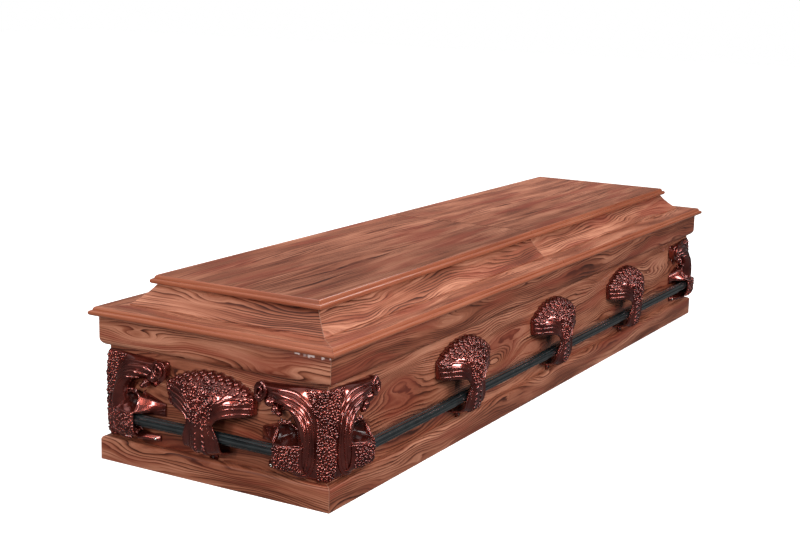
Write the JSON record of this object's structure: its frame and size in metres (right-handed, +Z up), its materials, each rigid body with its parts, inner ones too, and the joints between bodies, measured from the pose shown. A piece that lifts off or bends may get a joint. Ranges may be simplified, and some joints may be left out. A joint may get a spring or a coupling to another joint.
{
  "type": "wooden coffin",
  "caption": "Wooden coffin with a panelled two-part lid, moulded plinth and frieze, cast corner and tree brackets, and dark fluted handle bars along its sides and ends.",
  "frame": {"origin": "under the middle of the plinth, on the surface the coffin stands on", "axes": "+X along the coffin from its foot end to its head end, +Y across it to the back, +Z up"},
  "size_m": [2.088, 0.638, 0.3859],
  "materials": {
    "walnut_foil": "satin reddish walnut grain",
    "red_brown_lacquer": "gloss translucent lacquer over plated castings",
    "dark_bar": "satin dark grey-green"
  },
  "bodies": {
    "root": {"corner_bracket_foot_back": "red_brown_lacquer", "corner_bracket_foot_front": "red_brown_lacquer", "corner_bracket_head_back": "red_brown_lacquer", "corner_bracket_head_front": "red_brown_lacquer", "floor_board": "walnut_foil", "foot_lid_rim_back": "walnut_foil", "foot_lid_rim_end": "walnut_foil", "foot_lid_rim_front": "walnut_foil", "foot_lid_slope_back": "walnut_foil", "foot_lid_slope_end": "walnut_foil", "foot_lid_slope_front": "walnut_foil", "foot_lid_top": "walnut_foil", "frieze_back": "walnut_foil", "frieze_foot": "walnut_foil", "frieze_front": "walnut_foil", "frieze_head": "walnut_foil", "handle_bar_back": "dark_bar", "handle_bar_foot": "dark_bar", "handle_bar_front": "dark_bar", "handle_bar_head": "dark_bar", "head_lid_rim_back": "walnut_foil", "head_lid_rim_end": "walnut_foil", "head_lid_rim_front": "walnut_foil", "head_lid_slope_back": "walnut_foil", "head_lid_slope_end": "walnut_foil", "head_lid_slope_front": "walnut_foil", "head_lid_top": "walnut_foil", "plinth_back": "walnut_foil", "plinth_foot": "walnut_foil", "plinth_front": "walnut_foil", "plinth_head": "walnut_foil", "tree_bracket_back_1": "red_brown_lacquer", "tree_bracket_back_2": "red_brown_lacquer", "tree_bracket_back_3": "red_brown_lacquer", "tree_bracket_foot": "red_brown_lacquer", "tree_bracket_front_1": "red_brown_lacquer", "tree_bracket_front_2": "red_brown_lacquer", "tree_bracket_front_3": "red_brown_lacquer", "tree_bracket_head": "red_brown_lacquer", "wall_back": "walnut_foil", "wall_foot": "walnut_foil", "wall_front": "walnut_foil", "wall_head": "walnut_foil"}
  },
  "joints": []
}
